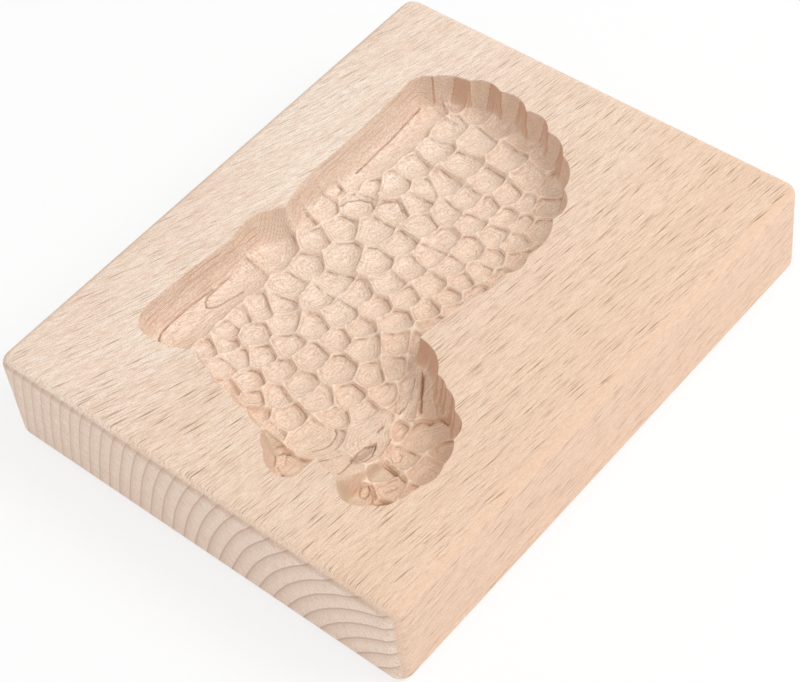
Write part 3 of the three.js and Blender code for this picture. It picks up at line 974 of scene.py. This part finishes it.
PALE_BEECH = srgb(255, 243, 230)
TAN_BEECH = srgb(243, 215, 190)
PINK_BEECH = srgb(240, 208, 188)
# Streaks and mottling, and the painted shade on the rounded edges
STREAK_AND_SHADE_BEECH = srgb(222, 186, 156)
END_BEECH = srgb(255, 235, 220)
# Painted shade on the walls, with their pores and lines
WALL_SHADE_AND_LINE_BEECH = srgb(201, 143, 109)
# Painted highlight on crests and painted light on hatched walls
HIGHLIGHT_BEECH = srgb(255, 236, 215)
# Painted shade on ridge edges, hatching dots and cut lines
SHADE_BEECH = srgb(142, 100, 74)
# Tool lines and grit, and painted shade at the foot of ridges
LINE_AND_SHADE_BEECH = srgb(182, 146, 118)
# Painted shade of the brown places
PLACE_SHADE_BEECH = srgb(212, 192, 168)
# Growth rings, and painted shade on the rounded end edges
RING_AND_SHADE_BEECH = srgb(172, 130, 110)
FLECK_BEECH = srgb(146, 106, 76)
TABLE_COLOUR = srgb(250, 250, 250)
WHITE = (1, 1, 1, 1)


def pith_distance(wood):
    """How far out from the pith a place lies, for rings with rather straight sides."""
    from_end = wood.math("SUBTRACT", wood.x, BOARD_HIGH[0])
    across = wood.math("MULTIPLY_ADD", from_end, PITH_SLOPE, wood.y)
    sides = wood.math("SUBTRACT", PITH[0], across), wood.math("SUBTRACT", wood.z, PITH[1])
    powers = [wood.math("POWER", side, RING_SQUARENESS) for side in sides]
    return wood.math("POWER", wood.math("ADD", *powers), 1 / RING_SQUARENESS)


def growth_rings(wood):
    """How dark the growth rings are: more so outward in each, with a line at its end."""
    out = pith_distance(wood)
    for pitch, size in RING_WOBBLES:
        out = wood.math("ADD", out, wood.swing(pitch, size))
    count = wood.product(out, wood.math("MULTIPLY_ADD", out, *RING_CROWDING))
    share = wood.math("FRACT", count)
    dark = wood.math("ADD", wood.ramp(share, *RING_LATE), wood.ramp(share, *RING_LINE))
    strength = wood.ramp(wood.y, *RING_STRENGTH)
    strength = wood.ramp(wood.end_grain, 0, 1, RING_ALONG, strength)
    return wood.product(dark, wood.ramp(share, *RING_END), strength)


def flecks(wood, cell, half_size, keep):
    """Pointed rays, one in each cell that keep lets through: 1 in their middle."""
    scaled = wood.vector("DIVIDE", wood.grain, cell)
    cells = wood.add("TexVoronoi", {"Vector": scaled, "Scale": 1.0}).outputs
    offset = wood.vector("ABSOLUTE", wood.vector("SUBTRACT", scaled, cells["Position"]))
    stretch = tuple(wide / half for wide, half in zip(cell, half_size))
    distance = wood.vector("DOT_PRODUCT", offset, stretch)
    chance = wood.add("SeparateColor", {"Color": cells["Color"]}).outputs[0]
    strength = wood.ramp(chance, 1 - keep, 1 - keep / 2)
    return wood.product(wood.ramp(distance, *FLECK_POINT), strength)


def beech_flecks(wood):
    """Dark dashes along the grain, faint on end grain and in the carving, none on edges."""
    flat = wood.math("MAXIMUM", wood.math("ABSOLUTE", wood.facing_z), wood.side_facing)
    shown = wood.math("MAXIMUM", wood.carved, wood.end_grain)
    shown = wood.math("MAXIMUM", wood.ramp(flat, *FLECK_FLATNESS), shown)
    hairs = wood.product(flecks(wood, *HAIRS), HAIR_STRENGTH)
    return wood.product(
        wood.math("MAXIMUM", flecks(wood, *DASHES), hairs), shown,
        wood.ramp(wood.carved, 0, 1, *CARVED_FLECKS), wood.ramp(wood.y, *SIDE_FLECKS),
        wood.ramp(wood.end_grain, 0, 1, *END_FLECKS),
    )


def beech_texture(wood):
    """Fine mottling: fibres along the grain or ray ends on end grain, and specks on both."""
    fibre = wood.noise(wood.grain, FIBRE_PITCH)
    rays = wood.noise(wood.grain, RAY_PITCH, detail=3, roughness=ROUGH_NOISE)
    speck = wood.noise(wood.place, SPECK_PITCH)
    return wood.blend(SPECK_SHARE, wood.blend(wood.end_grain, fibre, rays), speck)


def wall_shade_and_lines(wood):
    """Painted shade on the walls, more so on end grain, which is also browner itself, and on dark
    strips, lined along the grain.
    """
    shaded_strip = wood.attribute("shaded_strip")
    shade_brown = wood.ramp(wood.end_facing, *WALL_SHADE_BY_FACING)
    shade_brown = wood.math("MULTIPLY_ADD", shaded_strip, STRIP_SHADE, shade_brown)
    from_edge = wood.math("ABSOLUTE", wood.math("SUBTRACT", shaded_strip, 0.5))
    shade_brown = wood.math("ADD", shade_brown, wood.ramp(from_edge, *STRIP_EDGE))
    pores = wood.ramp(wood.noise(wood.place, PORE_PITCH), *PORES)
    level = wood.math("ADD", wood.z, wood.swing(LEVEL_PITCH, LEVEL_SWING))
    level = wood.ramp(wood.waves(level, WALL_LINE_STEP), *LEVEL_LINES)
    broken = wood.ramp(wood.noise(wood.place, BROKEN_PITCH), *BROKEN)
    lined = wood.math("MAXIMUM", pores, wood.product(level, broken))
    lined = wood.product(lined, wood.ramp(wood.end_facing, *LINED))
    smooth = wood.product(wood.steep, wood.math("SUBTRACT", 1, wood.hatch))
    return wood.product(smooth, wood.math("ADD", shade_brown, lined))


def beech_colour(wood):
    """The wood's colour with clouds, streaks, painted shade on the walls and growth rings."""
    cloud = wood.noise(wood.place, CLOUD_PITCH)
    streak = wood.noise(wood.grain, STREAK_PITCH, detail=2)
    return wood.layers(
        wood.tint(wood.ramp(wood.y, *HEARTWOOD), PALE_BEECH, TAN_BEECH),
        (wood.ramp(cloud, *CLOUDS), PINK_BEECH), (wood.ramp(streak, *STREAKS), STREAK_AND_SHADE_BEECH),
        (wood.end_grain, END_BEECH), (wall_shade_and_lines(wood), WALL_SHADE_AND_LINE_BEECH),
        (growth_rings(wood), RING_AND_SHADE_BEECH),
    )


def outside_tints(wood, colour):
    """Painted shade along the rounded edges of the face, ring colour and painted shade on the
    rounded end edges, and pinker long sides.
    """
    rounded_shade = wood.ramp(wood.product(wood.facing_z, wood.side_facing), *ROUNDED_EDGE_SHADE)
    side = wood.ramp(wood.side_facing, *LONG_SIDES)
    end_edge_shade = wood.ramp(wood.facing_z, *END_EDGE_SHADE)
    return wood.layers(
        colour, (wood.product(rounded_shade, wood.outside), STREAK_AND_SHADE_BEECH),
        (wood.product(side, wood.outside), PINK_BEECH),
        (wood.product(wood.end_grain, end_edge_shade), RING_AND_SHADE_BEECH),
    )


def crossed_waves(wood):
    """Hatching at 45 degrees to the board's sides, from -1 to 1."""
    ways = (wood.math(operation, wood.x, wood.y) for operation in ("ADD", "SUBTRACT"))
    return wood.product(*(wood.waves(way, HATCH_STEP) for way in ways))


def tool_lines(wood, crossed):
    """Fine lines that the cutter left: round each pit, level along the walls, and hatching."""
    drift = wood.math("MULTIPLY_ADD", wood.z, TOOL_CLIMB, wood.path)
    drift = wood.math("ADD", drift, wood.swing(DRIFT_PITCH, PATH_STEP / 2))
    patchy = wood.noise(wood.place, LINE_PATCH_PITCH)
    rounds = wood.product(wood.waves(drift, PATH_STEP), wood.ramp(patchy, *LINE_PATCHES))
    lines = wood.blend(wood.steep, rounds, wood.waves(wood.z, TOOL_STEP))
    lines = wood.blend(wood.hatch, lines, wood.product(crossed, HATCH_MARK))
    return wood.product(lines, wood.carved)


def tool_colour(wood, lines, crossed, colour):
    """Adds painted shade in brown places, the cutter's lines, painted shade at the feet and edges of
    ridges, painted highlights on crests, paler hatched walls as painted light, and painted shade in
    the hatching's dots and in cuts.
    """
    patchy = wood.noise(wood.place, RIDGE_PATCH_PITCH)
    # Painted shade at the foot of each ridge, in patches
    foot = wood.product(
        wood.band(wood.path, *FOOT_BAND), wood.floor, wood.ramp(patchy, *FOOT_PATCHES))
    # Painted shade on ridge sides that face +X, away from the key lamp
    edge_shade = wood.product(
        wood.band(wood.path, *EDGE_BAND), wood.floor, wood.ramp(wood.facing_x, *EDGE_FACING),
        wood.ramp(patchy, *EDGE_PATCHES),
    )
    # Painted light: hatched walls made paler
    hatch_light = wood.product(wood.hatch, wood.steep, PAINTED_HATCH_LIGHT)
    # Painted shade in dots over the hatching
    shade_dots = wood.product(wood.math("POWER", wood.hatch, DOT_POWER), wood.ramp(crossed, *DOTS))
    # Painted shade in and beside the cut lines
    groove_shade = wood.product(wood.ramp(wood.attribute("groove_shade"), *CUTS), wood.floor)
    return wood.layers(
        colour, (wood.attribute("shade_brown"), PLACE_SHADE_BEECH), (wood.ramp(lines, *LINES), LINE_AND_SHADE_BEECH),
        (foot, LINE_AND_SHADE_BEECH), (edge_shade, SHADE_BEECH),
        # Painted highlight on the ridges' crests
        (wood.product(wood.ramp(wood.path, *CREST_HIGHLIGHTS), wood.floor), HIGHLIGHT_BEECH),
        (hatch_light, HIGHLIGHT_BEECH), (shade_dots, SHADE_BEECH), (groove_shade, SHADE_BEECH),
    )


def beech_material():
    """Bare beech: the wood itself, and in the carving the marks of the cutter, with painted shade
    and highlights.
    """
    material = bpy.data.materials.new("beech")
    wood = Wood(material)
    texture = beech_texture(wood)
    fleck = beech_flecks(wood)
    crossed = crossed_waves(wood)
    lines = tool_lines(wood, crossed)
    grit = wood.noise(wood.place, GRIT_PITCH, roughness=ROUGH_NOISE)
    gritty = wood.math("MULTIPLY_ADD", wood.steep, -GRIT_OFF_WALLS, wood.carved)
    colour = wood.layers(
        outside_tints(wood, beech_colour(wood)), (wood.ramp(texture, *MOTTLING), STREAK_AND_SHADE_BEECH),
        (fleck, FLECK_BEECH), (wood.product(wood.ramp(grit, *GRIT), gritty), LINE_AND_SHADE_BEECH),
    )
    height = wood.product(lines, TOOL_MARK)
    for pattern, rise in (
        (texture, FIBRE_HEIGHT), (fleck, -FLECK_DEPTH), (wood.product(grit, gritty), -GRIT_DEPTH),
    ):
        height = wood.math("MULTIPLY_ADD", pattern, rise, height)
    bump = wood.add("Bump", {"Height": height, "Distance": MM, "Strength": 1.0})
    wood.surface(wood.add("BsdfPrincipled", {
        "Base Color": tool_colour(wood, lines, crossed, colour),
        "Roughness": wood.ramp(texture, *ROUGHNESS), "Specular IOR Level": SHEEN,
        "Normal": bump.outputs[0],
    }))
    return material


def add_table():
    """A white table under the board, whose shadow stays faint to the camera."""
    reach, low = TABLE_REACH * MM, BOARD_LOW[2] * MM
    mesh = bpy.data.meshes.new("table")
    corners = [(x * reach, y * reach, low) for x, y in ((-1, -1), (1, -1), (1, 1), (-1, 1))]
    mesh.from_pydata(corners, [], [(0, 1, 2, 3)])
    material = bpy.data.materials.new("white_table")
    nodes = NodeTree(material)
    diffuse = nodes.add("BsdfDiffuse", {"Color": TABLE_COLOUR})
    glow = nodes.add("Emission", {"Color": WHITE, "Strength": 1.0})
    share = nodes.product(nodes.seen(), TABLE_GLOW)
    nodes.surface(nodes.add("MixShader", {
        "Fac": share, 1: diffuse.outputs[0], 2: glow.outputs[0]}))
    mesh.materials.append(material)
    table = add_object("table", mesh)


def set_world():
    """An even pale room, pure white where it is seen."""
    world = bpy.data.worlds.new("room")
    nodes = NodeTree(world)
    room, white = (
        nodes.add("Background", {"Color": WHITE, "Strength": strength}).outputs[0]
        for strength in (ROOM_LIGHT, 1.0)
    )
    mix = nodes.add("MixShader", {"Fac": nodes.seen(), 1: room, 2: white})
    nodes.surface(mix, "OutputWorld")
    bpy.context.scene.world = world


def unit_vector(azimuth, elevation):
    """The direction with this azimuth and elevation in degrees."""
    azimuth, elevation = math.radians(azimuth), math.radians(elevation)
    flat = math.cos(elevation)
    return Vector((flat * math.cos(azimuth), flat * math.sin(azimuth), math.sin(elevation)))


def add_camera():
    """The camera of the photo's view."""
    back = unit_vector(CAMERA_AZIMUTH, CAMERA_ELEVATION)
    data = bpy.data.cameras.new("camera")
    data.lens = CAMERA_LENS
    camera = add_object("camera", data)
    roll = Matrix.Rotation(math.radians(CAMERA_ROLL), 3, "Z")
    camera.matrix_world = (back.to_track_quat("Z", "Y").to_matrix() @ roll).to_4x4()
    camera.location = (Vector(CAMERA_TARGET) + back * CAMERA_DISTANCE) * MM
    bpy.context.scene.camera = camera


def add_lamp(name, azimuth, elevation, distance, size, power):
    """A square area lamp aimed at the middle of the board."""
    back = unit_vector(azimuth, elevation)
    data = bpy.data.lights.new(name, "AREA")
    data.size = size
    data.energy = power
    lamp = add_object(name, data)
    lamp.rotation_euler = back.to_track_quat("Z", "Y").to_euler()
    lamp.location = back * distance


board = carved_board()
board.data.materials.append(beech_material())
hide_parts("mould_board")
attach(board, "root")

add_table()
set_world()
add_lamp("key", *KEY_LAMP)
add_lamp("fill", *FILL_LAMP)
add_camera()
bpy.context.scene.view_settings.view_transform = "Standard"
